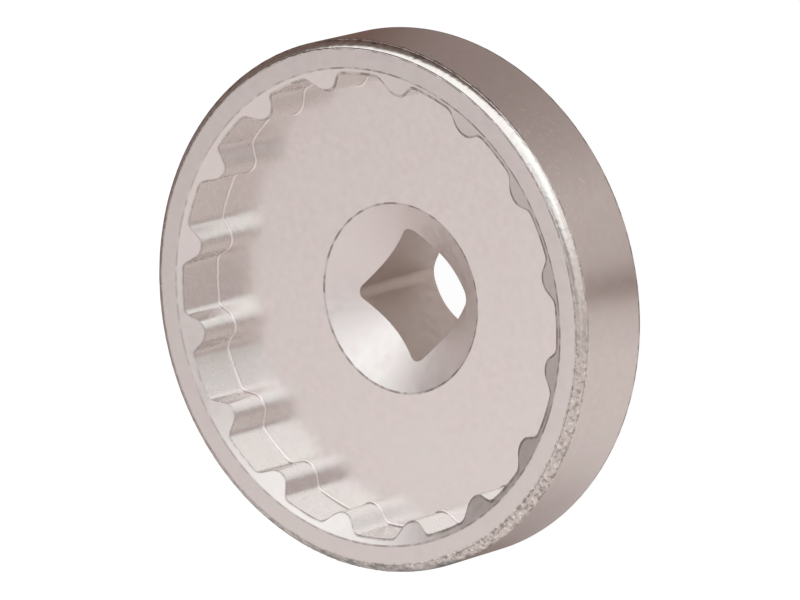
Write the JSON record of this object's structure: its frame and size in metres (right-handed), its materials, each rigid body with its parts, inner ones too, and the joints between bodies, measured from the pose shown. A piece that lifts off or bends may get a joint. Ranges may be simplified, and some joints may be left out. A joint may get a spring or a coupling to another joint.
{
  "type": "bottom bracket tool",
  "caption": "Shallow round cup with inward teeth and a square drive hole, for turning a notched bottom bracket cup.",
  "frame": {"origin": "centre of the hub's back face, which the tool stands on", "axes": "+Z along the tool's axis, out of the toothed mouth; X and Y square to the flats of the drive hole"},
  "size_m": [0.0508, 0.0508, 0.02],
  "materials": {
    "plated_steel": "satin nickel plating"
  },
  "bodies": {
    "root": {"bottom_bracket_tool": "plated_steel"}
  },
  "joints": []
}
